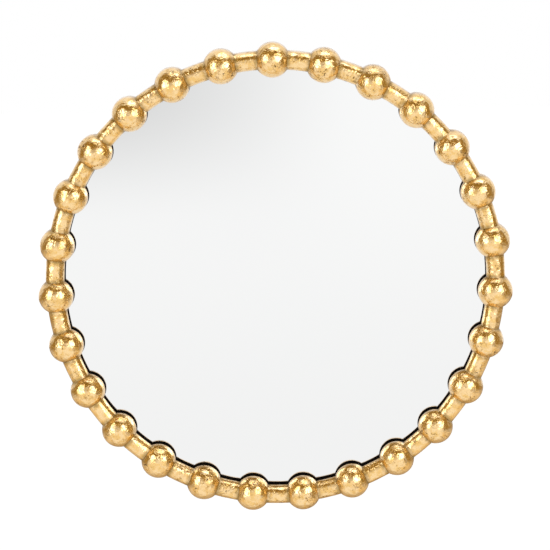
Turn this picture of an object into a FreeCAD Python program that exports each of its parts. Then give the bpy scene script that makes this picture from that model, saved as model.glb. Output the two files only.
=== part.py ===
import FreeCAD, Part
import math
import os

from FreeCAD import Vector

# Round wall mirror in a gilded frame of half-round beads joined by half-round bars.
# Millimetres. X is to the right and Z is up as seen from the front. The front looks along -Y.
# The origin is the centre of the mirror on the wall plane, where the bumpers touch the wall.

# Beads and bars
bead_count = 27
bead_ring_radius = 282.6      # circle through the bead centres and along the bars
bead_radius = 22.4
bead_skirt = 1.7              # straight rim below the round of a bead
bar_radius = 12.0
bar_skirt = 1.7               # straight rim below the round of a bar
glue_line = 0.15              # between a bead and the coped end of a bar

# Layers, from the wall to the front
bumper_height = 6.0
board_thickness = 9.0
strip_thickness = 1.0
glass_thickness = 4.0
gasket_thickness = 0.8
ring_thickness = 12.7

# Backboard, glass and what holds the glass
board_inset = 2.3             # board edge inside the outer edge of the bars
board_chamfer = 1.0
glass_overlap = 7.0           # glass hidden behind the lip along a bar
glass_clearance = 1.0         # round the glass in its rebate
glass_chamfer = 0.5
gasket_reveal = 2.5           # gasket set back from the lip
strip_count = 4
strip_width = 25.0
strip_pitch = 120.0
strip_edge_margin = 25.0      # strip ends to the edge of the glass

# Dowels that hold the beads
dowel_radius = 3.0
dowel_length = 13.0
dowel_hole_depth = 7.0        # in the bead, and the same in the ring
dowel_clearance = 0.1
dowel_chamfer = 0.5

# Screws
shank_radius = 1.75
shank_clearance = 0.25        # in a clearance hole
pilot_clearance = 0.1         # in a pilot hole
pilot_spare = 0.5             # pilot hole beyond the tip of the screw
tip_length = 2.5
head_radius = 3.5
frame_screw_length = 18.0
bars_per_frame_screw = 3
head_seat = 0.3               # countersunk head below the board
hanger_screw_length = 8.0
pan_head_height = 2.0
recess_length = 4.0
recess_width = 0.9
recess_depth = 1.0

# Hangers and their D rings
hanger_spacing = 300.0
hanger_height = 130.0         # ring axis above the centre of the mirror
strap_thickness = 1.0
strap_width = 15.0
strap_length = 45.0
strap_end_radius = 5.0
barrel_width = 13.4
upper_screw_drop = 25.0       # below the ring axis
lower_screw_drop = 38.0
wire_radius = 1.5
wire_play = 0.08              # between the wire and the barrel
ring_rest_gap = 0.3           # between the hanging ring and the strap
ring_width = 23.0             # wire centre to wire centre
ring_corner_radius = 4.0
ring_leg_length = 2.0

# Bumpers
bumper_count = 4
bumper_foot_radius = 7.0
bumper_tip_radius = 6.0
bumper_fillet = 0.8
bumper_ring_radius = 250.0

# Planes, as distances in front of the wall
board_back = bumper_height
board_front = board_back + board_thickness
glass_back = board_front + strip_thickness
glass_front = glass_back + glass_thickness
lip_back = glass_front + gasket_thickness
ring_front = board_front + ring_thickness

# Radii and steps that follow from the sizes above
bead_step = 360.0 / bead_count
half_step = math.radians(bead_step / 2)
bar_inner_radius = bead_ring_radius - bar_radius
bar_outer_radius = bead_ring_radius + bar_radius
glass_radius = bar_inner_radius + glass_overlap
rebate_radius = glass_radius + glass_clearance
board_radius = bar_outer_radius - board_inset
frame_screw_radius = (rebate_radius + bar_outer_radius) / 2
pilot_radius = shank_radius + pilot_clearance
shank_hole_radius = shank_radius + shank_clearance
ring_axis_depth = board_back - strap_thickness - ring_rest_gap - wire_radius
barrel_bore = wire_radius + wire_play
barrel_radius = barrel_bore + strap_thickness

FRONT = Vector(0, -1, 0)
REAR = Vector(0, 1, 0)
CENTRE = Vector(0, 0, 0)
SIDES = {"left": -1, "right": 1}


def at(x, depth, z):
    """Point at a distance in front of the wall."""
    return Vector(x, -depth, z)


def on_circle(radius, angle, depth):
    """Point on a circle round the centre, with the angle in radians clockwise from the top."""
    return at(radius * math.sin(angle), depth, radius * math.cos(angle))


def turned_copy(shape, degrees):
    """Copy of a shape, turned clockwise round the centre of the mirror."""
    copy = shape.copy()
    copy.rotate(CENTRE, REAR, degrees)
    return copy


def cylinder(radius, back, front, x=0.0, z=0.0):
    """Cylinder square to the wall, between two distances from it."""
    return Part.makeCylinder(radius, front - back, at(x, back, z), FRONT)


def turned(points, x, z):
    """Solid of revolution about an axis square to the wall, from (radius, depth) corners."""
    corners = [at(radius, depth, 0) for radius, depth in points]
    face = Part.Face(Part.makePolygon(corners + corners[:1]))
    solid = face.revolve(CENTRE, REAR, 360)
    solid.translate(Vector(x, 0, z))
    return solid


def scalloped_edge(side):
    """Outline of the frame: arcs round the beads, joined by arcs of the ring along the bars.

    side is 1 for the outer edge and -1 for the inner edge.
    """
    radius = bead_ring_radius + side * bar_radius
    reach = radius**2 + bead_ring_radius**2 - bead_radius**2
    spread = math.acos(reach / (2 * radius * bead_ring_radius))
    edges = []
    for number in range(bead_count):
        bead_angle = 2 * half_step * number
        next_angle = bead_angle + 2 * half_step
        arc_start = on_circle(radius, bead_angle - spread, board_front)
        arc_middle = on_circle(bead_ring_radius + side * bead_radius, bead_angle, board_front)
        bar_start = on_circle(radius, bead_angle + spread, board_front)
        bar_middle = on_circle(radius, bead_angle + half_step, board_front)
        bar_end = on_circle(radius, next_angle - spread, board_front)
        edges.append(Part.Arc(arc_start, arc_middle, bar_start).toShape())
        edges.append(Part.Arc(bar_start, bar_middle, bar_end).toShape())
    return Part.Wire(edges)


def scalloped_plate(side):
    """Solid plate as thick as the backing ring, inside one of its edges."""
    return Part.Face(scalloped_edge(side)).extrude(FRONT * ring_thickness)


def frame_screw_places():
    """Centres of the screws that hold the frame, each behind the middle of a bar."""
    places = []
    for number in range(bead_count // bars_per_frame_screw):
        angle = half_step * (2 * bars_per_frame_screw * number + 1)
        places.append(on_circle(frame_screw_radius, angle, 0))
    return places


def hanger_screw_places():
    """Centres of the two screws of each hanger."""
    places = []
    for side in SIDES.values():
        for drop in (upper_screw_drop, lower_screw_drop):
            places.append(at(side * hanger_spacing / 2, 0, hanger_height - drop))
    return places


def make_backing_ring():
    """Flat scalloped ring that carries the beads and bars, rebated behind for the glass."""
    ring = scalloped_plate(1).cut(scalloped_plate(-1))
    holes = [cylinder(rebate_radius, board_front, lip_back)]
    for number in range(bead_count):
        place = on_circle(bead_ring_radius, 2 * half_step * number, 0)
        holes.append(cylinder(dowel_radius + dowel_clearance, ring_front - dowel_hole_depth,
                              ring_front, place.x, place.z))
    tip = board_back + head_seat + frame_screw_length
    for place in frame_screw_places():
        holes.append(cylinder(pilot_radius, board_front, tip + pilot_spare, place.x, place.z))
    return ring.cut(holes)


def make_top_bead():
    """Half-round turned bead at the top of the ring, bored behind for its dowel."""
    rim = ring_front + bead_skirt
    slant = bead_radius * math.sqrt(0.5)
    base = [at(bead_radius, rim, 0), at(bead_radius, ring_front, 0), at(0, ring_front, 0),
            at(0, rim + bead_radius, 0)]
    edges = [Part.makePolygon(base),
             Part.Arc(base[3], at(slant, rim + slant, 0), base[0]).toShape()]
    bead = Part.Face(Part.Wire(edges)).revolve(CENTRE, REAR, 360)
    bead = bead.cut(cylinder(dowel_radius + dowel_clearance, ring_front,
                             ring_front + dowel_hole_depth))
    bead.translate(at(0, 0, bead_ring_radius))
    return bead


def bead_envelope():
    """Space of the top bead with the glue line round it."""
    radius = bead_radius + glue_line
    rim = ring_front + bead_skirt
    envelope = Part.makeSphere(radius, at(0, rim, bead_ring_radius))
    return envelope.fuse(cylinder(radius, ring_front, rim, 0, bead_ring_radius))


def make_top_bar():
    """Half-round bar to the right of the top bead, coped to fit both of its beads."""
    rim = ring_front + bar_skirt
    profile = [at(0, rim, bar_outer_radius), at(0, ring_front, bar_outer_radius),
               at(0, ring_front, bar_inner_radius), at(0, rim, bar_inner_radius)]
    crown = Part.Arc(profile[3], at(0, rim + bar_radius, bead_ring_radius), profile[0])
    face = Part.Face(Part.Wire([Part.makePolygon(profile), crown.toShape()]))
    bar = face.revolve(CENTRE, REAR, bead_step)
    envelope = bead_envelope()
    return bar.cut([envelope, turned_copy(envelope, bead_step)])


def make_top_dowel():
    """Dowel of the top bead, half in the bead and half in the ring."""
    back = ring_front - dowel_length / 2
    front = ring_front + dowel_length / 2
    small = dowel_radius - dowel_chamfer
    points = [(0, back), (small, back), (dowel_radius, back + dowel_chamfer),
              (dowel_radius, front - dowel_chamfer), (small, front), (0, front)]
    return turned(points, 0, bead_ring_radius)


def all_round(shape):
    """A shape at the top of the ring, repeated once for each bead."""
    return [turned_copy(shape, bead_step * number) for number in range(bead_count)]


def make_mirror_glass():
    """Round mirror glass with a ground front edge."""
    edge = glass_radius - glass_chamfer
    points = [(0, glass_back), (glass_radius, glass_back),
              (glass_radius, glass_front - glass_chamfer), (edge, glass_front), (0, glass_front)]
    return turned(points, 0, 0)


def make_glass_gasket():
    """Thin black foam gasket between the glass and the lip of the ring."""
    inner_radius = bar_inner_radius + gasket_reveal
    gasket = cylinder(glass_radius, glass_front, lip_back)
    return gasket.cut(cylinder(inner_radius, glass_front, lip_back))


def make_bonding_strips():
    """Upright foam strips that bond the glass to the board."""
    strips = []
    for number in range(strip_count):
        x = strip_pitch * (number - (strip_count - 1) / 2)
        outer_x = abs(x) + strip_width / 2
        half_length = math.sqrt((glass_radius - strip_edge_margin)**2 - outer_x**2)
        corner = at(x - strip_width / 2, glass_back, -half_length)
        strips.append(Part.makeBox(strip_width, strip_thickness, 2 * half_length, corner))
    return strips


def make_backboard():
    """Round board behind the glass, drilled for the frame screws and hanger screws."""
    edge = board_radius - board_chamfer
    points = [(0, board_back), (edge, board_back), (board_radius, board_back + board_chamfer),
              (board_radius, board_front), (0, board_front)]
    board = turned(points, 0, 0)
    sink = board_back + head_seat
    sink_radius = head_radius + shank_clearance
    holes = []
    for place in frame_screw_places():
        points = [(0, board_back), (sink_radius, board_back), (sink_radius, sink),
                  (shank_hole_radius, sink + head_radius - shank_radius),
                  (shank_hole_radius, board_front), (0, board_front)]
        holes.append(turned(points, place.x, place.z))
    bottom = board_back - strap_thickness + hanger_screw_length + pilot_spare
    for place in hanger_screw_places():
        holes.append(cylinder(pilot_radius, board_back, bottom, place.x, place.z))
    return board.cut(holes)


def cross_recess(head, x, z):
    """Two crossed slots that open to the rear in a screw head."""
    long_side = recess_length / 2
    short_side = recess_width / 2
    slots = []
    for half_x, half_z in ((long_side, short_side), (short_side, long_side)):
        corner = at(x - half_x, head + recess_depth, z - half_z)
        slots.append(Part.makeBox(2 * half_x, recess_depth, 2 * half_z, corner))
    return slots


def make_frame_screw(place):
    """Countersunk screw through the board into the backing ring."""
    head = board_back + head_seat
    tip = head + frame_screw_length
    points = [(0, head), (head_radius, head), (shank_radius, head + head_radius - shank_radius),
              (shank_radius, tip - tip_length), (0, tip)]
    return turned(points, place.x, place.z).cut(cross_recess(head, place.x, place.z))


def make_hanger_screw(place):
    """Pan-head screw through a hanger strap into the board."""
    seat = board_back - strap_thickness
    head = seat - pan_head_height
    tip = seat + hanger_screw_length
    crown = pan_head_height / 4
    points = [(0, head), (head_radius - 2 * crown, head), (head_radius - crown, head + crown / 2),
              (head_radius, head + 2 * crown), (head_radius, seat), (shank_radius, seat),
              (shank_radius, tip - tip_length), (0, tip)]
    return turned(points, place.x, place.z).cut(cross_recess(head, place.x, place.z))


def make_hanger(side):
    """Steel strap screwed to the board, rolled at its top into a barrel for the D ring."""
    x = side * hanger_spacing / 2
    left = x - strap_width / 2
    foot = hanger_height - strap_length
    seat = board_back - strap_thickness
    strap = Part.makeBox(strap_width, strap_thickness, strap_length, at(left, board_back, foot))
    foot_edges = [edge for edge in strap.Edges
                  if edge.BoundBox.ZMax < foot + strap_end_radius / 2
                  and edge.BoundBox.XLength < strap_end_radius / 2]
    strap = strap.makeFillet(strap_end_radius, foot_edges)
    barrel_start = Vector(x - barrel_width / 2, -ring_axis_depth, hanger_height)
    along_x = Vector(1, 0, 0)
    barrel = Part.makeCylinder(barrel_radius, barrel_width, barrel_start, along_x)
    bore = Part.makeCylinder(barrel_bore, strap_width, barrel_start, along_x)
    holes = [cylinder(shank_hole_radius, seat, board_back, place.x, place.z)
             for place in hanger_screw_places()]
    return strap.fuse(barrel).removeSplitter().cut([bore] + holes)


def make_d_ring(side):
    """Steel wire ring that hangs from its barrel: a straight bar, two corners and a round bow."""
    x = side * hanger_spacing / 2
    half_width = ring_width / 2
    bar_end = half_width - ring_corner_radius
    leg_top = hanger_height - ring_corner_radius
    leg_foot = leg_top - ring_leg_length
    slant = ring_corner_radius * math.sqrt(0.5)
    corner = ring_corner_radius - slant

    def point(offset, z):
        return at(x + offset, ring_axis_depth, z)

    edges = [Part.LineSegment(point(-bar_end, hanger_height), point(bar_end, hanger_height)),
             Part.Arc(point(bar_end, hanger_height), point(half_width - corner, hanger_height - corner),
                      point(half_width, leg_top)),
             Part.LineSegment(point(half_width, leg_top), point(half_width, leg_foot)),
             Part.Arc(point(half_width, leg_foot), point(0, leg_foot - half_width),
                      point(-half_width, leg_foot)),
             Part.LineSegment(point(-half_width, leg_foot), point(-half_width, leg_top)),
             Part.Arc(point(-half_width, leg_top), point(corner - half_width, hanger_height - corner),
                      point(-bar_end, hanger_height))]
    path = Part.Wire([edge.toShape() for edge in edges])
    section = Part.Wire(Part.makeCircle(wire_radius, point(-bar_end, hanger_height), Vector(1, 0, 0)))
    return path.makePipeShell([section], True, False)


def make_bumper(number):
    """Soft bumper on the back of the board, narrower where it meets the wall."""
    angle = math.radians(360.0 / bumper_count * (number + 0.5))
    place = on_circle(bumper_ring_radius, angle, 0)
    inner_tip = bumper_tip_radius - bumper_fillet
    points = [(0, 0), (inner_tip, 0), (bumper_tip_radius, bumper_fillet),
              (bumper_foot_radius, board_back), (0, board_back)]
    return turned(points, place.x, place.z)


def export(name, solids):
    """Write one node, made of one solid or of several separate ones."""
    shape = solids[0] if len(solids) == 1 else Part.makeCompound(solids)
    shape.exportStep(os.path.join("parts", name + ".step"))


def main():
    """Build every piece of the mirror and write one file for each node."""
    os.makedirs("parts", exist_ok=True)
    for number, bead in enumerate(all_round(make_top_bead()), start=1):
        export(f"bead_{number:02d}", [bead])
    export("link_bars", all_round(make_top_bar()))
    export("bead_dowels", all_round(make_top_dowel()))
    export("backing_ring", [make_backing_ring()])
    export("glass_gasket", [make_glass_gasket()])
    export("mirror_glass", [make_mirror_glass()])
    export("bonding_strips", make_bonding_strips())
    export("backboard", [make_backboard()])
    export("frame_screws", [make_frame_screw(place) for place in frame_screw_places()])
    export("hanger_screws", [make_hanger_screw(place) for place in hanger_screw_places()])
    for name, side in SIDES.items():
        export("hanger_" + name, [make_hanger(side)])
        export("d_ring_" + name, [make_d_ring(side)])
    export("wall_bumpers", [make_bumper(number) for number in range(bumper_count)])


main()
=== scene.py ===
"""Looks of a round wall mirror: gilded half-round beads and bars round a flat glass, on a black board.

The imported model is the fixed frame. The gilded beads and bars are remade here as hand-finished meshes
in the same places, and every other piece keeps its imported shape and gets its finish. Lengths are metres.
"""

import logging
import math
from dataclasses import dataclass, field
from enum import Enum
from typing import Any, Callable, ClassVar, Sequence

import bpy
from mathutils import Matrix, Vector, noise


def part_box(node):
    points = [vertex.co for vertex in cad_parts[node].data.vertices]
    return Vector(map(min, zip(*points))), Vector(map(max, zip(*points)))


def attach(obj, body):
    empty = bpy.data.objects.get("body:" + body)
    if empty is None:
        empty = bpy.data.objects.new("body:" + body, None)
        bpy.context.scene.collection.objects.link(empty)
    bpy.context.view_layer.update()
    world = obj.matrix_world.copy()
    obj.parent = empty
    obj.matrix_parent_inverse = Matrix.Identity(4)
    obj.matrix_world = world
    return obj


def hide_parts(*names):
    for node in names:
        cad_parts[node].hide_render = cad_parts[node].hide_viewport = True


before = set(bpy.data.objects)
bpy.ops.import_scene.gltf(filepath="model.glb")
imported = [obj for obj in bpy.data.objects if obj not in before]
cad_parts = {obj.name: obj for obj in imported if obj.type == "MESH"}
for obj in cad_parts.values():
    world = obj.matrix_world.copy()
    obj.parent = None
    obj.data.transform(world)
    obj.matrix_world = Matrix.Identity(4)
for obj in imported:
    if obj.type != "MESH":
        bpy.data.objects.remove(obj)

LOG = logging.getLogger("mirror")
MM = 0.001
STATIC_BODY = "frame"
SHARP_CORNER = math.radians(40)
# Rays that meet the white background
SEEN_BY = ("Camera", "Glossy", "Transmission")

Colour = tuple[float, float, float]
Triple = tuple[float, float, float]
Span = tuple[float, float]


class Unevenness(Enum):
    """Wavelength in metres and share of each scale of hand-finishing marks."""

    RUBBED = (12 * MM, 1.0)
    BRUSHED = (4.5 * MM, 0.25)


class Toned(Enum):
    """Joint lines where dark toning stays in the gilding."""

    BEAD = "where bars meet a bead"
    BAR = "where beads meet a bar"
    BASE = "only where beads and bars stand on the base ring"


# ---------------------------------------------------------------- shader graphs


class Sock:
    """A shader socket that takes part in sums, products and steps."""

    def __init__(self, graph: "Graph", socket: bpy.types.NodeSocket) -> None:
        """Wrap a socket.

        Args:
            graph: The graph that holds the socket's node.
            socket: The output socket.
        """
        self.graph = graph
        self.socket = socket

    def _math(self, operation: str, first: Any, second: Any = 0.0) -> "Sock":
        """Add one Math node.

        Args:
            operation: The node's operation.
            first: Its first value.
            second: Its second value, where the operation has one.

        Returns:
            The node's result.
        """
        return self.graph.node("ShaderNodeMath", {"operation": operation}, {0: first, 1: second})

    def __add__(self, other: Any) -> "Sock":
        """Return self + other."""
        return self._math("ADD", self, other)

    __radd__ = __add__

    def __sub__(self, other: Any) -> "Sock":
        """Return self - other."""
        return self._math("SUBTRACT", self, other)

    def __rsub__(self, other: Any) -> "Sock":
        """Return other - self."""
        return self._math("SUBTRACT", other, self)

    def __mul__(self, other: Any) -> "Sock":
        """Return self * other."""
        return self._math("MULTIPLY", self, other)

    __rmul__ = __mul__

    def __pow__(self, other: Any) -> "Sock":
        """Return self to the power of other."""
        return self._math("POWER", self, other)

    def __abs__(self) -> "Sock":
        """Return the size of self without its sign."""
        return self._math("ABSOLUTE", self)

    def larger(self, other: Any) -> "Sock":
        """Return the larger of self and other."""
        return self._math("MAXIMUM", self, other)

    def smaller(self, other: Any) -> "Sock":
        """Return the smaller of self and other."""
        return self._math("MINIMUM", self, other)

    def turn_from(self, other: Any) -> "Sock":
        """Return the angle, in radians, whose tangent is self over other."""
        return self._math("ARCTAN2", self, other)

    def sine(self) -> "Sock":
        """Return the sine of self in radians."""
        return self._math("SINE", self)

    def cosine(self) -> "Sock":
        """Return the cosine of self in radians."""
        return self._math("COSINE", self)

    def folded(self, step: float) -> "Sock":
        """Return self less its nearest whole number of steps."""
        inputs = {0: self, 1: step / 2, 2: -step / 2}
        return self.graph.node("ShaderNodeMath", {"operation": "WRAP"}, inputs)

    def rises(self, low: float, high: float) -> "Sock":
        """Smooth step from 0 at low to 1 at high.

        Args:
            low: Value where the step starts.
            high: Value where it ends. It may be the smaller one, for a falling step.

        Returns:
            The step.
        """
        settings = {"interpolation_type": "SMOOTHSTEP"}
        if low < high:
            return self.graph.node("ShaderNodeMapRange", settings, {0: self, 1: low, 2: high})
        return 1.0 - self.graph.node("ShaderNodeMapRange", settings, {0: self, 1: high, 2: low})

    def between(self, none: float, full: float) -> "Sock":
        """Return a value that is none where self is 0 and full where self is 1."""
        return none + (full - none) * self

    def toward(self, other: Any, share: "Sock") -> "Sock":
        """Return self moved toward other by a share of the way."""
        return self + (other - self) * share


def hypotenuse(*offsets: Sock) -> Sock:
    """Measure how far offsets along square axes lead together.

    Args:
        *offsets: One offset along each axis.

    Returns:
        The distance.
    """
    total = offsets[0] * offsets[0]
    for offset in offsets[1:]:
        total = total + offset * offset
    return total ** 0.5


@dataclass(frozen=True)
class Grain:
    """A kind of noise: coarsest wavelength in metres, finer scales, their strength and distortion."""

    size: float
    detail: float = 3.0
    rough: float = 0.5
    twist: float = 0.0


class Graph:
    """The node tree of one material or of the world, built from an empty start."""

    def __init__(self, tree: bpy.types.NodeTree) -> None:
        """Empty a tree and keep it.

        Args:
            tree: The node tree to fill.
        """
        self.tree = tree
        tree.nodes.clear()

    def add(self, kind: str, settings: dict[str, Any] | None = None,
            inputs: dict[Any, Any] | None = None) -> bpy.types.Node:
        """Add one node.

        Args:
            kind: The node's type.
            settings: Its properties, set before its sockets.
            inputs: Socket name or index to a value or a Sock.

        Returns:
            The node.
        """
        made = self.tree.nodes.new(kind)
        for name, value in (settings or {}).items():
            setattr(made, name, value)
        for name, value in (inputs or {}).items():
            if isinstance(value, Sock):
                self.tree.links.new(value.socket, made.inputs[name])
            elif isinstance(value, tuple) and made.inputs[name].type == "RGBA":
                made.inputs[name].default_value = (*value, 1.0)
            else:
                made.inputs[name].default_value = value
        return made

    def node(self, kind: str, settings: dict[str, Any] | None = None,
             inputs: dict[Any, Any] | None = None, output: Any = 0) -> Sock:
        """Add one node and take one of its outputs.

        Args:
            kind: The node's type.
            settings: Its properties.
            inputs: Socket name or index to a value or a Sock.
            output: Name or index of the socket to return.

        Returns:
            The chosen output.
        """
        return Sock(self, self.add(kind, settings, inputs).outputs[output])

    def place(self) -> Sock:
        """Return the point's place in the piece's own frame, in metres."""
        return self.node("ShaderNodeTexCoord", output="Object")

    def split(self, vector: Sock) -> tuple[Sock, Sock, Sock]:
        """Return a vector's X, Y and Z."""
        outputs = self.add("ShaderNodeSeparateXYZ", inputs={0: vector}).outputs
        return Sock(self, outputs[0]), Sock(self, outputs[1]), Sock(self, outputs[2])

    def grain(self, place: Sock, kind: Grain) -> Sock:
        """Add noise.

        Args:
            place: Where to read it.
            kind: Its sizes.

        Returns:
            The noise, from 0 to 1.
        """
        inputs = {"Vector": place, "Scale": 1.0 / kind.size, "Detail": kind.detail,
                  "Roughness": kind.rough, "Distortion": kind.twist}
        return self.node("ShaderNodeTexNoise", {"noise_dimensions": "3D"}, inputs, "Fac")

    def threads(self, place: Sock, kind: Grain, edge: Span) -> Sock:
        """Return fine winding lines, which run where noise of one kind has its middle value."""
        return abs(self.grain(place, kind) - 0.5).rises(*edge)

    def stretch(self, place: Sock, scale: Triple) -> Sock:
        """Return a place scaled by a different share along each axis."""
        inputs = {0: place, 1: scale}
        return self.node("ShaderNodeVectorMath", {"operation": "MULTIPLY"}, inputs)

    def blend(self, share: Any, first: Any, second: Any) -> Sock:
        """Mix two colours.

        Args:
            share: How much of the second one to take, from 0 to 1.
            first: The first colour.
            second: The second colour.

        Returns:
            The mixed colour.
        """
        inputs = {0: share, 6: first, 7: second}
        return self.node("ShaderNodeMix", {"data_type": "RGBA"}, inputs, 2)

    def relief(self, height: Sock, depth: float, strength: float = 1.0) -> Sock:
        """Return the normal of a relief whose height runs from 0 to 1 over a depth in metres."""
        inputs = {"Height": height, "Distance": depth, "Strength": strength}
        return self.node("ShaderNodeBump", inputs=inputs)

    def surface(self, **inputs: Any) -> Sock:
        """Add the main surface shader.

        Args:
            **inputs: Socket names, with underscores for spaces, to values or links.

        Returns:
            The shader.
        """
        named = {name.replace("_", " "): value for name, value in inputs.items()}
        if "Specular" in named:
            named["Specular IOR Level"] = named.pop("Specular")
        return self.node("ShaderNodeBsdfPrincipled", inputs=named)

    def layer(self, share: Any, first: Sock, second: Sock) -> Sock:
        """Return two shaders mixed by the share of the second."""
        return self.node("ShaderNodeMixShader", inputs={0: share, 1: first, 2: second})

    def ray_is(self, kinds: Sequence[str]) -> Sock:
        """Tell kinds of light rays apart.

        Args:
            kinds: Names of kinds.

        Returns:
            1 for rays of any of these kinds and 0 for others.
        """
        outputs = self.add("ShaderNodeLightPath").outputs
        first, *others = [Sock(self, outputs[f"Is {kind} Ray"]) for kind in kinds]
        for other in others:
            first = first.larger(other)
        return first

    def finish(self, shader: Sock, kind: str = "ShaderNodeOutputMaterial") -> None:
        """Lead a shader to the output."""
        self.add(kind, inputs={"Surface": shader})


# ---------------------------------------------------------------- finishes


@dataclass(frozen=True)
class Finish:
    """A finish that makes one material. Subclasses say what the material looks like."""

    name: str
    made: ClassVar[dict["Finish", bpy.types.Material]] = {}

    def build(self, graph: Graph) -> Sock:
        """Return the finished shader."""
        raise NotImplementedError

    def material(self) -> bpy.types.Material:
        """Return the material, made on the first call.

        Returns:
            The one material of this finish.
        """
        if self not in self.made:
            material = bpy.data.materials.new(self.name)
            material.use_nodes = True
            graph = Graph(material.node_tree)
            graph.finish(self.build(graph))
            self.made[self] = material
        return self.made[self]

    def dress(self, *pieces: bpy.types.Object) -> None:
        """Put the material on every slot of some pieces.

        Args:
            *pieces: The pieces.
        """
        for piece in pieces:
            count = max(1, len(piece.material_slots))
            piece.data.materials.clear()
            for _ in range(count):
                piece.data.materials.append(self.material())


@dataclass(frozen=True)
class GoldLeaf(Finish):
    """Rubbed metal leaf over a red-brown ground, with pits, veins, dark toning in the joints and a brown
    stain beside them: patina and painted shade.
    """

    sizes: "FrameSizes"
    toned: Toned
    leaf: Colour = (0.99, 0.755, 0.385)
    deep_leaf: Colour = (0.90, 0.605, 0.20)
    # Brown beside the joints: patina, and painted shade where bead and bar face each other
    patina_and_shade: Colour = (0.27, 0.155, 0.036)
    ground: Colour = (0.92, 0.39, 0.030)
    worn_ground: Colour = (0.085, 0.034, 0.006)
    toning: Colour = (0.150, 0.054, 0.006)

    # Noises that the marks follow
    cloud: Grain = Grain(8 * MM, 2.5, 0.55, 0.4)
    crinkle: Grain = Grain(5.2 * MM, 1.4, 0.5, 0.6)
    fleck: Grain = Grain(3.4 * MM, 2.5, 0.6, 0.8)
    pinhole: Grain = Grain(2.0 * MM, 1.5, 0.5)
    rubbed_area: Grain = Grain(16 * MM, 2.0, 0.5)
    vein: Grain = Grain(12 * MM, 3.0, 0.6, 1.2)

    # Where each mark starts and where it is full, in its noise or in metres from a joint
    area_edge: Span = (0.46, 0.62)
    worn_edge: Span = (0.55, 0.64)
    pinhole_edge: Span = (0.66, 0.74)
    vein_edge: Span = (0.030, 0.006)
    vein_break: Span = (0.36, 0.58)
    line_edge: Span = (1.0 * MM, 0.2 * MM)
    stain_and_shade_edge: Span = (6.5 * MM, 0.6 * MM)
    stain_and_shade_break: Span = (0.25, 0.52)
    deep_edge: Span = (0.42, 0.62)
    dull_edge: Span = (0.50, 0.75)

    # How much each mark covers
    worn_outside: float = 0.10
    veins_outside: float = 0.25
    line_share: float = 0.90
    bare_share: float = 0.78
    stain_and_shade_share: float = 0.62
    least_ground: float = 0.16
    most_ground: float = 0.97

    # Roughness and relief
    smooth: float = 0.09
    cloud_haze: float = 0.04
    fleck_haze: float = 0.12
    line_haze: float = 0.2
    fleck_height: float = 0.03
    bare_depth: float = 0.10
    crinkle_depth: float = 0.90 * MM
    lacquer_rough: float = 0.12
    lacquer_ior: float = 1.75
    ground_rough: float = 0.6
    ground_sheen: float = 0.05

    def build(self, graph: Graph) -> Sock:
        """Return the finished shader."""
        return self.leaf_shader(graph, graph.place())

    def joint_gap(self, graph: Graph, place: Sock) -> Sock:
        """Measure how far a point is from the joints where toning stays.

        Args:
            graph: The material's graph.
            place: The point in the frame.

        Returns:
            The distance to the nearest joint, in metres.
        """
        sizes = self.sizes
        x, y, z = graph.split(place)
        over = (sizes.base_plane - sizes.rim - y).larger(0.0)
        radius = hypotenuse(x, z)
        if self.toned is Toned.BEAD:
            return hypotenuse(radius - sizes.ring_radius, over) - sizes.bar_radius
        if self.toned is Toned.BAR:
            from_bead = x.turn_from(z).folded(sizes.step)
            along = radius * from_bead.sine()
            side = radius * from_bead.cosine() - sizes.ring_radius
            return hypotenuse(along, side, over) - sizes.bead_radius
        return abs(y - sizes.base_plane)

    def bare_ground(self, graph: Graph, place: Sock, fleck: Sock) -> Sock:
        """Find where the leaf is gone: in rubbed flecks, pinholes and fine veins.

        Args:
            graph: The material's graph.
            place: Where the patterns are read.
            fleck: The flecks' noise there.

        Returns:
            The share of bare ground, from 0 to 1.
        """
        area = graph.grain(place, self.rubbed_area).rises(*self.area_edge)
        flecks = fleck.rises(*self.worn_edge) * area.between(self.worn_outside, 1.0)
        pinholes = graph.grain(place, self.pinhole).rises(*self.pinhole_edge) * area
        veins = graph.threads(place, self.vein, self.vein_edge) * fleck.rises(*self.vein_break)
        return flecks.larger(pinholes).larger(veins * area.between(self.veins_outside, 1.0))

    def leaf_shader(self, graph: Graph, place: Sock) -> Sock:
        """Make the leaf.

        Args:
            graph: The material's graph.
            place: Where its patterns are read.

        Returns:
            The shader.
        """
        cloud = graph.grain(place, self.cloud)
        fleck = graph.grain(place, self.fleck)
        bare = self.bare_ground(graph, place, fleck)
        gap = self.joint_gap(graph, place)
        _, y, _ = graph.split(place)
        seam = gap.smaller(abs(y - self.sizes.base_plane))
        line = seam.rises(*self.line_edge) * (self.line_share * fleck)
        # Patchy brown stain within a few mm of the joints: part patina, part painted shade between bead and
        # bar
        stain_and_shade = gap.rises(*self.stain_and_shade_edge) * cloud.rises(*self.stain_and_shade_break)

        height = graph.grain(place, self.crinkle) + self.fleck_height * fleck - self.bare_depth * bare
        normal = graph.relief(height, self.crinkle_depth)
        leaf_tint = graph.blend(cloud.rises(*self.deep_edge), self.leaf, self.deep_leaf)
        rough = self.smooth + self.cloud_haze * cloud + self.line_haze * line
        rough = rough + self.fleck_haze * fleck.rises(*self.dull_edge)
        leaf = graph.surface(Base_Color=leaf_tint, Metallic=1.0, Roughness=rough, Normal=normal,
                             Coat_Weight=1.0, Coat_Roughness=self.lacquer_rough,
                             Coat_IOR=self.lacquer_ior)

        ground_tint = graph.blend(bare, self.ground, self.worn_ground)
        ground_tint = graph.blend(stain_and_shade, ground_tint, self.patina_and_shade)
        ground_tint = graph.blend(line, ground_tint, self.toning)
        ground = graph.surface(Base_Color=ground_tint, Roughness=self.ground_rough,
                               Specular=self.ground_sheen, Normal=normal)
        covered = (self.bare_share * bare).larger(line).larger(self.stain_and_shade_share * stain_and_shade)
        return graph.layer(covered.between(self.least_ground, self.most_ground), leaf, ground)


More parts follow.
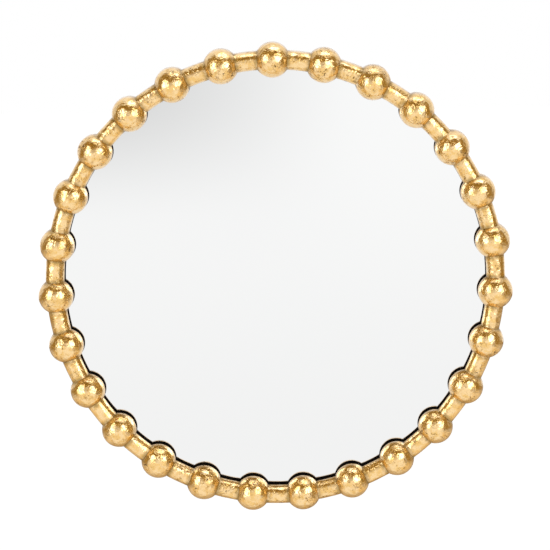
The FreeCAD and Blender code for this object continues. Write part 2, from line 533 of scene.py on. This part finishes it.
@dataclass(frozen=True)
class BaseRing(GoldLeaf):
    """Gold leaf on the outer edge of the base ring, and black satin paint inside and behind."""

    rear_face: float = field(kw_only=True)
    paint: Colour = (0.0060, 0.0036, 0.0022)
    rubbed_paint: Colour = (0.016, 0.010, 0.007)
    ragged: Grain = Grain(5 * MM, 3.0, 0.6)
    raggedness: float = 1.0 * MM
    inner_edge: Span = (0.0, 0.4 * MM)
    rear_edge: Span = (1.1 * MM, 1.5 * MM)
    brushed: Grain = Grain(3 * MM, 4.0, 0.6)
    brush_run: Triple = (1.0, 0.35, 1.0)
    rubbed_edge: Span = (0.60, 0.80)
    brush_depth: float = 0.06 * MM
    brush_strength: float = 0.6
    paint_rough: Span = (0.7, 0.9)
    paint_sheen: float = 0.005

    def build(self, graph: Graph) -> Sock:
        """Lay leaf on the outer edge, ahead of the rear face, and black paint elsewhere.

        Args:
            graph: The material's graph.

        Returns:
            The shader.
        """
        place = graph.place()
        x, y, z = graph.split(place)
        ragged = graph.grain(place, self.ragged) * self.raggedness
        outside = (hypotenuse(x, z) + ragged - self.sizes.ring_radius).rises(*self.inner_edge)
        ahead = (ragged - y + self.rear_face).rises(*self.rear_edge)
        brushed = graph.grain(graph.stretch(place, self.brush_run), self.brushed)
        tint = graph.blend(brushed.rises(*self.rubbed_edge), self.paint, self.rubbed_paint)
        normal = graph.relief(brushed, self.brush_depth, self.brush_strength)
        paint = graph.surface(Base_Color=tint, Roughness=brushed.between(*self.paint_rough),
                              Specular=self.paint_sheen, Normal=normal)
        return graph.layer(outside * ahead, paint, self.leaf_shader(graph, place))


@dataclass(frozen=True)
class Silvering(Finish):
    """Clear silvered glass, with its ground edge and painted back in one grey-green."""

    front: float
    tint: Colour = (0.898, 0.902, 0.900)
    edge_tint: Colour = (0.16, 0.24, 0.21)
    etched_tint: Colour = (0.26, 0.33, 0.30)
    film: Grain = Grain(60 * MM, 3.0, 0.5)
    etch: Grain = Grain(1.2 * MM, 3.0, 0.6)
    face_depth: Span = (0.1 * MM, 0.2 * MM)
    film_edge: Span = (0.35, 0.8)
    face_rough: Span = (0.004, 0.010)
    edge_rough: Span = (0.35, 0.55)

    def build(self, graph: Graph) -> Sock:
        """Make the mirror's face, and its edge and back in one tone.

        Args:
            graph: The material's graph.

        Returns:
            The shader.
        """
        place = graph.place()
        _, y, _ = graph.split(place)
        behind = (y - self.front).rises(*self.face_depth)
        film = graph.grain(place, self.film).rises(*self.film_edge)
        mirror = graph.surface(Base_Color=self.tint, Metallic=1.0,
                               Roughness=film.between(*self.face_rough))
        etched = graph.grain(place, self.etch)
        edge_tint = graph.blend(etched, self.edge_tint, self.etched_tint)
        edge = graph.surface(Base_Color=edge_tint, Roughness=etched.between(*self.edge_rough))
        return graph.layer(behind, mirror, edge)


@dataclass(frozen=True)
class BoardPaint(Finish):
    """Matt black roller paint on fibreboard, rubbed brown at its rim, in dusty patches and in scuffs."""

    rim_radius: float
    paint: Colour = (0.021, 0.020, 0.020)
    thin_paint: Colour = (0.036, 0.034, 0.032)
    rubbed: Colour = (0.085, 0.068, 0.052)

    peel: Grain = Grain(1.6 * MM, 3.0, 0.55)
    cloud: Grain = Grain(70 * MM, 4.0, 0.6)
    fibre: Grain = Grain(4 * MM, 4.0, 0.65)
    fibre_run: Triple = (1.0, 1.0, 0.12)
    scuff: Grain = Grain(45 * MM, 3.0, 0.6, 0.8)
    scuff_run: Triple = (1.0, 1.0, 0.3)

    thin_edge: Span = (0.35, 0.65)
    dust_edge: Span = (0.60, 0.74)
    dust_area: Span = (0.45, 0.7)
    scuff_edge: Span = (0.012, 0.002)
    scuff_area: Span = (0.42, 0.60)
    rim_edge: Span = (-1.4 * MM, 0.0)
    rim_raggedness: float = 1.6 * MM

    rim_share: float = 0.7
    dust_share: float = 0.55
    scuff_share: float = 0.5
    smooth: float = 0.46
    cloud_haze: float = 0.22
    peel_haze: float = 0.12
    peel_height: float = 0.7
    fibre_height: float = 0.3
    paint_depth: float = 0.18 * MM
    paint_strength: float = 0.9

    def build(self, graph: Graph) -> Sock:
        """Roll the black paint on, and rub it at the rim, in dusty patches and in scuffs.

        Args:
            graph: The material's graph.

        Returns:
            The shader.
        """
        place = graph.place()
        x, _, z = graph.split(place)
        peel = graph.grain(place, self.peel)
        cloud = graph.grain(place, self.cloud)
        fibres = graph.grain(graph.stretch(place, self.fibre_run), self.fibre)
        scuffs = graph.threads(graph.stretch(place, self.scuff_run), self.scuff, self.scuff_edge)
        from_rim = hypotenuse(x, z) + self.rim_raggedness * fibres - self.rim_radius
        near_rim = self.rim_share * from_rim.rises(*self.rim_edge)
        dust = self.dust_share * fibres.rises(*self.dust_edge) * cloud.rises(*self.dust_area)
        scuffed = self.scuff_share * scuffs * cloud.rises(*self.scuff_area)
        coat = graph.blend(cloud.rises(*self.thin_edge), self.paint, self.thin_paint)
        tint = graph.blend(near_rim.larger(dust).larger(scuffed), coat, self.rubbed)
        rough = self.smooth + self.cloud_haze * cloud + self.peel_haze * peel
        height = self.peel_height * peel + self.fibre_height * fibres
        normal = graph.relief(height, self.paint_depth, self.paint_strength)
        return graph.surface(Base_Color=tint, Roughness=rough, Normal=normal)


@dataclass(frozen=True)
class ZincPlate(Finish):
    """Bright zinc-plated steel with fine drawing marks along one axis."""

    plate: Colour = (0.70, 0.70, 0.68)
    dulled: Colour = (0.46, 0.46, 0.45)
    along: Triple = (1.0, 1.0, 0.10)
    drawn: Grain = Grain(0.5 * MM, 3.0, 0.6)
    cloud: Grain = Grain(6 * MM, 4.0, 0.6)
    dull_edge: Span = (0.45, 0.75)
    smooth: float = 0.20
    drawn_haze: float = 0.14
    cloud_haze: float = 0.14
    drawn_depth: float = 0.02 * MM
    drawn_strength: float = 0.5

    def build(self, graph: Graph) -> Sock:
        """Draw the bright steel and dull it in patches.

        Args:
            graph: The material's graph.

        Returns:
            The shader.
        """
        place = graph.place()
        drawn = graph.grain(graph.stretch(place, self.along), self.drawn)
        cloud = graph.grain(place, self.cloud)
        tint = graph.blend(cloud.rises(*self.dull_edge), self.plate, self.dulled)
        rough = self.smooth + self.drawn_haze * drawn + self.cloud_haze * cloud
        normal = graph.relief(drawn, self.drawn_depth, self.drawn_strength)
        return graph.surface(Base_Color=tint, Metallic=1.0, Roughness=rough, Normal=normal)


@dataclass(frozen=True)
class Speckled(Finish):
    """A plain matt stuff with a fine grain of a second tone: rubber, foam or bare wood."""

    main: Colour
    second: Colour
    grain_size: float
    rough: float
    stretch: Triple = (1.0, 1.0, 1.0)
    patch_sizes: float = 6.0
    fine_edge: Span = (0.35, 0.7)
    fine_share: float = 0.6
    patch_haze: float = 0.1
    relief_sizes: float = 0.15
    relief_strength: float = 0.6

    def build(self, graph: Graph) -> Sock:
        """Mix the two tones grain by grain.

        Args:
            graph: The material's graph.

        Returns:
            The shader.
        """
        place = graph.stretch(graph.place(), self.stretch)
        fine = graph.grain(place, Grain(self.grain_size, detail=4.0, rough=0.6))
        patches = graph.grain(place, Grain(self.patch_sizes * self.grain_size, detail=3.0, rough=0.5))
        share = self.fine_share * fine.rises(*self.fine_edge) + (1.0 - self.fine_share) * patches
        tint = graph.blend(share, self.main, self.second)
        normal = graph.relief(fine, self.relief_sizes * self.grain_size, self.relief_strength)
        rough = self.rough + self.patch_haze * patches
        return graph.surface(Base_Color=tint, Roughness=rough, Normal=normal)


# ---------------------------------------------------------------- sizes and meshes


@dataclass(frozen=True)
class FrameSizes:
    """Sizes that the gilded pieces follow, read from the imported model."""

    bead_count: int
    ring_radius: float
    bead_radius: float
    bar_radius: float
    rim: float
    base_plane: float
    glass_plane: float
    board_radius: float

    @classmethod
    def from_frame(cls) -> "FrameSizes":
        """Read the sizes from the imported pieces.

        Returns:
            The sizes, in metres.
        """
        low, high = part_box("bead_01")
        bead_radius = (high.x - low.x) / 2
        rim = (high.y - low.y) - bead_radius
        bars_low, bars_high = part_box("link_bars")
        board_low, board_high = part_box("backboard")
        return cls(
            bead_count=sum(name[:5] == "bead_" and name[5:].isdigit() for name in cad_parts),
            ring_radius=(high.z + low.z) / 2,
            bead_radius=bead_radius,
            bar_radius=(bars_high.y - bars_low.y) - rim,
            rim=rim,
            base_plane=high.y,
            glass_plane=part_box("mirror_glass")[0].y,
            board_radius=(board_high.x - board_low.x) / 2,
        )

    @property
    def step(self) -> float:
        """Angle from one bead to the next, in radians."""
        return 2 * math.pi / self.bead_count

    def turned(self, steps: float) -> Matrix:
        """Return the turn that takes the top of the ring clockwise by some beads."""
        return Matrix.Rotation(self.step * steps, 4, "Y")


def hand_finish(point: Vector, height: float) -> float:
    """Unevenness that hand sanding and gilding leave on a surface.

    Args:
        point: Where it is read.
        height: Its size at the coarsest scale, in metres.

    Returns:
        How far the surface stands out there.
    """
    total = 0.0
    for scale in Unevenness:
        wavelength, share = scale.value
        total += share * noise.noise(point / wavelength)
    return height * total


def link(piece: bpy.types.Object) -> None:
    """Link a piece to the scene."""
    bpy.context.scene.collection.objects.link(piece)


def mesh_piece(name: str, points: Sequence[Any], faces: Sequence[tuple[int, ...]]) -> bpy.types.Object:
    """Make a piece from points and faces.

    Args:
        name: The piece's name.
        points: Its points.
        faces: Each face's points by number.

    Returns:
        The piece, linked to the scene.
    """
    mesh = bpy.data.meshes.new(name)
    mesh.from_pydata(points, [], faces)
    piece = bpy.data.objects.new(name, mesh)
    link(piece)
    return piece


def loft(name: str, loops: Sequence[Sequence[Vector]], tip: Vector | None = None) -> bpy.types.Object:
    """Skin closed loops of equal length into one closed mesh.

    Args:
        name: The piece's name.
        loops: Closed loops, in order. The first one is capped with one face.
        tip: A point that closes the last loop. Without it, that one is capped too.

    Returns:
        The piece, linked to the scene, with smooth faces and sharp corners.
    """
    size = len(loops[0])
    points = [point for loop in loops for point in loop]
    faces = [tuple(range(size))[::-1]]
    for row in range(len(loops) - 1):
        for column in range(size):
            after = (column + 1) % size
            low, high = row * size, (row + 1) * size
            faces.append((low + column, low + after, high + after, high + column))
    last = (len(loops) - 1) * size
    if tip is None:
        faces.append(tuple(range(last, last + size)))
    else:
        points.append(tip)
        faces += [(last + column, last + (column + 1) % size, len(points) - 1) for column in range(size)]
    piece = mesh_piece(name, points, faces)
    piece.data.validate()
    piece.data.shade_smooth()
    piece.data.set_sharp_from_angle(angle=SHARP_CORNER)
    return piece


@dataclass
class GiltBeads:
    """The half-round beads: gilded domes on a short straight rim, a little uneven by hand."""

    sizes: FrameSizes
    finish: GoldLeaf
    meridians: int = 96
    parallels: int = 30
    unevenness: float = 0.13 * MM
    crown_share: float = 0.35
    eased_rim: float = 0.35 * MM
    rim_split: float = 0.6

    def profile(self) -> list[Span]:
        """Draw half of the bead's section.

        Returns:
            (radius, depth) points from the base to just before the top of the dome.
        """
        sizes = self.sizes
        points = [(sizes.bead_radius - self.eased_rim, 0.0), (sizes.bead_radius, self.eased_rim),
                  (sizes.bead_radius, sizes.rim * self.rim_split)]
        for parallel in range(self.parallels):
            angle = 0.5 * math.pi * parallel / self.parallels
            points.append((sizes.bead_radius * math.cos(angle),
                           sizes.rim + sizes.bead_radius * math.sin(angle)))
        return points

    def build_one(self, number: int) -> bpy.types.Object:
        """Make one bead.

        Args:
            number: Its place clockwise from the top, from 0.

        Returns:
            The bead.
        """
        sizes = self.sizes
        turn = sizes.turned(number)
        centre = Vector((0.0, sizes.base_plane - sizes.rim, sizes.ring_radius))
        limit = sizes.bead_radius + sizes.rim

        def place(radius: float, depth: float, angle: float) -> Vector:
            """Find where a point of the profile ends up.

            Args:
                radius: Its distance from the bead's axis.
                depth: Its height over the base.
                angle: Its turn round the axis, in radians.

            Returns:
                Its finished place.
            """
            offset = Vector((radius * math.sin(angle), sizes.rim - depth, radius * math.cos(angle)))
            crown_fade = min(1.0, (limit - depth) / sizes.rim + self.crown_share)
            fade = min(1.0, depth / sizes.rim) * crown_fade
            seat = centre + offset
            lift = hand_finish(turn @ seat, self.unevenness) - self.unevenness
            return turn @ (seat + offset.normalized() * lift * fade)

        angles = [2 * math.pi * meridian / self.meridians for meridian in range(self.meridians)]
        loops = [[place(radius, depth, angle) for angle in angles] for radius, depth in self.profile()]
        piece = loft(f"gilt_bead_{number + 1:02d}", loops, place(0.0, limit, 0.0))
        self.finish.dress(piece)
        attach(piece, STATIC_BODY)
        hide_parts(f"bead_{number + 1:02d}")
        return piece

    def build(self) -> None:
        """Make every bead."""
        for number in range(self.sizes.bead_count):
            piece = self.build_one(number)
            LOG.info("%s: %d faces", piece.name, len(piece.data.polygons))


@dataclass
class GiltBars:
    """The half-round bars along the ring, coped onto the beads at both ends."""

    sizes: FrameSizes
    finish: GoldLeaf
    crown_points: int = 33
    lengths: int = 26
    unevenness: float = 0.11 * MM
    tuck: float = 0.4 * MM
    eased_rim: float = 0.3 * MM

    def section(self) -> list[Span]:
        """Draw the bar's closed section.

        Returns:
            (offset across, height over the base) points.
        """
        sizes = self.sizes
        wide = sizes.bar_radius
        points = [(wide - self.eased_rim, 0.0), (wide, self.eased_rim)]
        for step in range(self.crown_points):
            angle = math.pi * step / (self.crown_points - 1)
            points.append((wide * math.cos(angle), sizes.rim + wide * math.sin(angle)))
        return points + [(-wide, self.eased_rim), (self.eased_rim - wide, 0.0)]

    def reach(self, offset: float, height: float) -> float:
        """Half of the angle that the bar takes along one line of its surface.

        Args:
            offset: The line's distance to the side.
            height: Its height over the base.

        Returns:
            The angle, in radians, from the middle of the bar to a little way into the bead.
        """
        sizes = self.sizes
        over = max(0.0, height - sizes.rim)
        radius = sizes.ring_radius + offset
        inside = radius**2 + sizes.ring_radius**2 + over**2 - sizes.bead_radius**2
        taken = math.acos(inside / (2 * radius * sizes.ring_radius))
        return sizes.step / 2 - taken + self.tuck / radius

    def build_one(self, number: int) -> bpy.types.Object:
        """Make one bar.

        Args:
            number: The bead that it follows clockwise, from 0.

        Returns:
            The bar.
        """
        sizes = self.sizes
        turn = sizes.turned(number + 0.5)
        section = self.section()

        def place(share: float, offset: float, height: float) -> Vector:
            """Find where a point of the section ends up.

            Args:
                share: Where along the bar it is, from -1 at one end to 1 at the other.
                offset: Its offset across.
                height: Its height over the base.

            Returns:
                Its finished place.
            """
            angle = share * self.reach(offset, height)
            across = Vector((math.sin(angle), 0.0, math.cos(angle)))
            seat = across * (sizes.ring_radius + offset)
            seat.y = sizes.base_plane - height
            outward = across * offset
            outward.y = -max(0.0, height - sizes.rim)
            outward.normalize()
            fade = min(1.0, height / sizes.rim)
            lift = hand_finish(turn @ seat, self.unevenness) - self.unevenness
            return turn @ (seat + outward * lift * fade)

        shares = [2 * step / (self.lengths - 1) - 1 for step in range(self.lengths)]
        loops = [[place(share, *point) for point in section] for share in shares]
        piece = loft(f"gilt_bar_{number + 1:02d}", loops)
        self.finish.dress(piece)
        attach(piece, STATIC_BODY)
        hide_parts("link_bars")
        return piece

    def build(self) -> None:
        """Make every bar."""
        for number in range(self.sizes.bead_count):
            piece = self.build_one(number)
            LOG.info("%s: %d faces", piece.name, len(piece.data.polygons))


@dataclass
class Carcass:
    """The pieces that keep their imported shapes: base ring, glazing, board and hardware."""

    sizes: FrameSizes

    def finishes(self) -> dict[Finish, tuple[str, ...]]:
        """Choose the finishes.

        Returns:
            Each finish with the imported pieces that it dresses.
        """
        sizes = self.sizes
        base = BaseRing("base_ring_paint", sizes, Toned.BASE, rear_face=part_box("backing_ring")[1].y)
        drawn_wire = ZincPlate("zinc_wire", along=(0.3, 1.0, 1.0))
        black_foam = Speckled("black_foam", main=(0.010, 0.010, 0.010), second=(0.035, 0.035, 0.035),
                              grain_size=0.8 * MM, rough=0.85)
        white_foam = Speckled("white_foam", main=(0.72, 0.71, 0.68), second=(0.55, 0.54, 0.50),
                              grain_size=0.8 * MM, rough=0.85)
        rubber = Speckled("bumper_rubber", main=(0.014, 0.014, 0.015), second=(0.040, 0.040, 0.040),
                          grain_size=0.5 * MM, rough=0.55)
        beech = Speckled("bare_beech", main=(0.56, 0.36, 0.20), second=(0.70, 0.50, 0.31),
                         grain_size=0.6 * MM, rough=0.6, stretch=(1.0, 0.1, 1.0))
        return {
            base: ("backing_ring",),
            Silvering("silvered_glass", front=sizes.glass_plane): ("mirror_glass",),
            black_foam: ("glass_gasket",),
            white_foam: ("bonding_strips",),
            BoardPaint("board_paint", rim_radius=sizes.board_radius): ("backboard",),
            ZincPlate("zinc_plate"): ("hanger_left", "hanger_right", "frame_screws", "hanger_screws"),
            drawn_wire: ("d_ring_left", "d_ring_right"),
            rubber: ("wall_bumpers",),
            beech: ("bead_dowels",),
        }

    def build(self) -> None:
        """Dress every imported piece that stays."""
        for finish, names in self.finishes().items():
            for name in names:
                finish.dress(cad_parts[name])
                LOG.info("%s: %s", name, finish.name)


# ---------------------------------------------------------------- studio


def direction(azimuth: float, elevation: float) -> Vector:
    """Unit vector from the mirror.

    Args:
        azimuth: Degrees to the right of straight ahead of the mirror.
        elevation: Degrees above the horizon.

    Returns:
        The direction in the row's frame.
    """
    turn, lift = math.radians(azimuth), math.radians(elevation)
    return Vector((math.cos(lift) * math.sin(turn), -math.cos(lift) * math.cos(turn), math.sin(lift)))


@dataclass(frozen=True)
class Lamp:
    """A soft box: its direction and distance from the mirror, its size and how bright it looks."""

    name: str
    azimuth: float
    elevation: float
    distance: float
    width: float
    height: float
    radiance: float
    spin: float = 0.0

    def build(self) -> None:
        """Add the lamp, facing the mirror."""
        data = bpy.data.lights.new(self.name, "AREA")
        data.shape = "RECTANGLE"
        data.size = self.width
        data.size_y = self.height
        data.energy = self.radiance * math.pi * self.width * self.height
        lamp = bpy.data.objects.new(self.name, data)
        lamp.location = direction(self.azimuth, self.elevation) * self.distance
        facing = lamp.location.to_track_quat("Z", "Y").to_matrix()
        lamp.rotation_euler = (facing @ Matrix.Rotation(math.radians(self.spin), 3, "Z")).to_euler()
        link(lamp)


@dataclass(frozen=True)
class Viewpoint:
    """Where the camera stands and looks, from the middle of the glass, and its lens in millimetres."""

    place: Triple = (0.0239, -2.5123, 0.4465)
    aim: Triple = (-0.0003, 0.0, 0.0063)
    roll_degrees: float = 0.79
    sensor: float = 36.0
    focal_length: float = 129.75
    far_clip: float = 100.0

    def build(self, glass_plane: float) -> None:
        """Place the camera.

        Args:
            glass_plane: Y of the front of the glass.
        """
        glass = Vector((0.0, glass_plane, 0.0))
        camera = bpy.data.objects.new("camera", bpy.data.cameras.new("camera"))
        camera.data.sensor_width = self.sensor
        camera.data.lens = self.focal_length
        camera.data.clip_end = self.far_clip
        camera.location = glass + Vector(self.place)
        facing = glass + Vector(self.aim) - camera.location
        turn = facing.to_track_quat("-Z", "Y").to_matrix().to_4x4()
        camera.rotation_euler = (turn @ Matrix.Rotation(-math.radians(self.roll_degrees), 4, "Z")).to_euler()
        link(camera)
        bpy.context.scene.camera = camera


@dataclass(frozen=True)
class Patch:
    """A patch of the studio walls with soft edges: across, in degrees, and up, in shares of the radius."""

    turns: Span
    heights: Span

    def share(self, turn: Sock, height: Sock) -> Sock:
        """Return 1 inside the patch and 0 outside, at a turn and a height."""
        return height.rises(*self.heights) * turn.rises(*self.turns)


@dataclass(frozen=True)
class StudioWalls(Finish):
    """Glow of the studio round the mirror: a pale card low down, darker above, beside and beneath.

    Dim places are tinted a little warm, so that what the leaf mirrors of them turns brown.
    """

    radius: float = 2.5
    card: float = 0.985
    dark: float = 0.125
    far: float = 0.80
    shoulder: float = 1.0
    under: float = 0.45
    beside: Span = (0.20, 0.90)
    warm_tint: Colour = (0.15, -0.20, -0.70)

    # Shades of the pale card, and how far up it turns dark
    low_lift: float = 0.03
    low_heights: Span = (-0.34, -0.14)
    right_lift: float = 0.035
    right_patch: Patch = Patch((-3.0, 7.0), (-0.22, -0.02))
    corner_shade: float = 0.27
    corner_patch: Patch = Patch((5.0, -11.0), (-0.12, 0.03))
    dark_heights: Span = (0.05, 0.80)
    # Walls beside, further round, high on the right, and beneath
    left_side: Patch = Patch((-60.0, -77.0), (-0.97, -0.80))
    right_side: Patch = Patch((43.0, 62.0), (-0.97, -0.80))
    beside_heights: Span = (-0.10, -0.75)
    far_left: Patch = Patch((-95.0, -109.0), (-0.25, 0.20))
    far_right: Patch = Patch((91.0, 105.0), (-0.25, 0.20))
    shoulder_patch: Patch = Patch((40.0, 62.0), (0.72, 0.84))
    under_depths: Span = (-0.30, 0.35)
    under_heights: Span = (-0.15, -0.45)
    under_widths: Span = (0.85, 0.35)
    # Where the walls turn warm
    warm_glows: Span = (0.50, 0.14)
    warm_heights: Span = (-0.20, -0.60)
    beside_warmth: float = 0.4
    under_warmth: float = 0.5

    def build(self, graph: Graph) -> Sock:
        """Shade the walls, from the card in front to the walls beneath.

        Args:
            graph: The material's graph.

        Returns:
            The shader.
        """
        x, y, z = graph.split(graph.place())
        height = z * (1.0 / self.radius)
        depth = y * (1.0 / self.radius)
        width = abs(x) * (1.0 / self.radius)
        turn = x.turn_from(0.0 - y) * math.degrees(1.0)

        glow = self.card + self.low_lift * height.rises(*self.low_heights)
        glow = glow + self.right_lift * self.right_patch.share(turn, height)
        glow = glow - self.corner_shade * self.corner_patch.share(turn, height)
        glow = glow.toward(self.dark, height.rises(*self.dark_heights))
        sides = self.left_side.share(turn, height).larger(self.right_side.share(turn, height))
        glow = glow.toward(height.rises(*self.beside_heights).between(*self.beside), sides)
        far = self.far_left.share(turn, height).larger(self.far_right.share(turn, height))
        glow = glow.toward(self.far, far)
        glow = glow.toward(self.shoulder, self.shoulder_patch.share(turn, height))
        under = depth.rises(*self.under_depths) * height.rises(*self.under_heights)
        under = under * width.rises(*self.under_widths)
        glow = glow.toward(self.under, under)

        warm_sides = self.beside_warmth * sides * height.rises(*self.warm_heights)
        warm = glow.rises(*self.warm_glows).larger(warm_sides).larger(self.under_warmth * under)
        red, green, blue = (glow * (1.0 + change * warm) for change in self.warm_tint)
        tone = graph.node("ShaderNodeCombineXYZ", inputs={0: red, 1: green, 2: blue})
        return graph.surface(Base_Color=(0.0, 0.0, 0.0), Specular=0.0, Emission_Color=tone,
                             Emission_Strength=1.0)


@dataclass(frozen=True)
class PaleFloor(Finish):
    """Plain pale floor that stays white to the camera and keeps the object's shadow."""

    paint: Colour = (0.80, 0.80, 0.80)
    glow: Colour = (0.68, 0.68, 0.68)
    rough: float = 0.9
    sheen: float = 0.1

    def build(self, graph: Graph) -> Sock:
        """Paint the floor, and let it glow for the rays that should meet white.

        Args:
            graph: The material's graph.

        Returns:
            The shader.
        """
        paint = graph.surface(Base_Color=self.paint, Roughness=self.rough, Specular=self.sheen)
        lit = graph.surface(Base_Color=self.paint, Roughness=self.rough, Specular=self.sheen,
                            Emission_Color=self.glow, Emission_Strength=1.0)
        return graph.layer(graph.ray_is(SEEN_BY), paint, lit)


@dataclass
class Studio:
    """Floor, walls, lamps, world and camera round the mirror."""

    sizes: FrameSizes
    floor_height: float = -2.52
    floor_size: float = 60.0
    wall_left: float = -125.0
    wall_right: float = 122.0
    wall_bottom: float = -89.0
    back_top: float = -12.0
    wall_top: float = 65.0
    wall_cells: int = 40
    plain_level: float = 0.45
    white: Colour = (1.0, 1.0, 1.0)

    def lamps(self) -> list[Lamp]:
        """Return the soft boxes."""
        return [
            Lamp("left_soft_box", azimuth=-46.5, elevation=17.5, distance=2.1, width=1.02, height=1.84,
                 radiance=2.2),
            Lamp("right_soft_box", azimuth=39.0, elevation=20.5, distance=2.1, width=1.44, height=1.44,
                 radiance=2.2),
            Lamp("overhead_soft_box", azimuth=75.3, elevation=77.6, distance=2.4, width=1.94, height=0.79,
                 radiance=1.9, spin=-75.3),
        ]

    def build_floor(self) -> None:
        """Lay the floor."""
        half = self.floor_size / 2
        corners = [(-half, -half), (half, -half), (half, half), (-half, half)]
        points = [(x, y, self.floor_height) for x, y in corners]
        floor = mesh_piece("floor", points, [(0, 1, 2, 3)])
        PaleFloor("floor_paint").dress(floor)

    def build_walls(self) -> None:
        """Raise the curved studio walls, which only reflections and the light itself meet."""
        walls = StudioWalls("studio_glow")
        self.build_wall("studio_walls", walls, (self.wall_left, self.wall_right), self.wall_top)
        self.build_wall("studio_under", walls, (self.wall_right, self.wall_left + 360.0), self.back_top)

    def build_wall(self, name: str, walls: StudioWalls, turns: Span, top: float) -> None:
        """Raise one stretch of the walls from near the floor.

        Args:
            name: The wall's name.
            walls: Its finish.
            turns: Azimuths of its two sides.
            top: Elevation of its upper edge.
        """
        points, faces, cells = [], [], self.wall_cells
        for row in range(cells + 1):
            lift = self.wall_bottom + (top - self.wall_bottom) * row / cells
            for column in range(cells + 1):
                turn = turns[0] + (turns[1] - turns[0]) * column / cells
                points.append(direction(turn, lift) * walls.radius)
        for row in range(cells):
            for column in range(cells):
                first = row * (cells + 1) + column
                faces.append((first, first + 1, first + cells + 2, first + cells + 1))
        piece = mesh_piece(name, points, faces)
        piece.visible_camera = False
        walls.dress(piece)

    def build_world(self) -> None:
        """Make the world white to the camera and in reflections, and a plain level elsewhere."""
        world = bpy.data.worlds.new("studio_world")
        bpy.context.scene.world = world
        world.use_nodes = True
        graph = Graph(world.node_tree)
        plain_light = graph.node("ShaderNodeBackground", inputs={0: self.white, 1: self.plain_level})
        seen = graph.node("ShaderNodeBackground", inputs={0: self.white, 1: 1.0})
        shader = graph.layer(graph.ray_is(SEEN_BY), plain_light, seen)
        graph.finish(shader, "ShaderNodeOutputWorld")

    def build_camera(self) -> None:
        """Place the camera where the photograph was taken from."""
        Viewpoint().build(self.sizes.glass_plane)

    def build(self) -> None:
        """Set up the whole studio."""
        steps: list[Callable[[], None]] = [self.build_floor, self.build_walls, self.build_world,
                                           self.build_camera]
        for step in steps:
            step()
            LOG.info("studio: %s", step.__name__)
        for lamp in self.lamps():
            lamp.build()
            LOG.info("studio: %s", lamp.name)
        bpy.context.scene.view_settings.view_transform = "Standard"


def main() -> None:
    """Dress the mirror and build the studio."""
    logging.basicConfig(level=logging.INFO, format="%(message)s")
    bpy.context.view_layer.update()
    sizes = FrameSizes.from_frame()
    Carcass(sizes).build()
    GiltBeads(sizes, GoldLeaf("bead_leaf", sizes, Toned.BEAD)).build()
    GiltBars(sizes, GoldLeaf("bar_leaf", sizes, Toned.BAR)).build()
    Studio(sizes).build()
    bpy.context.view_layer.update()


if __name__ == "__main__":
    main()
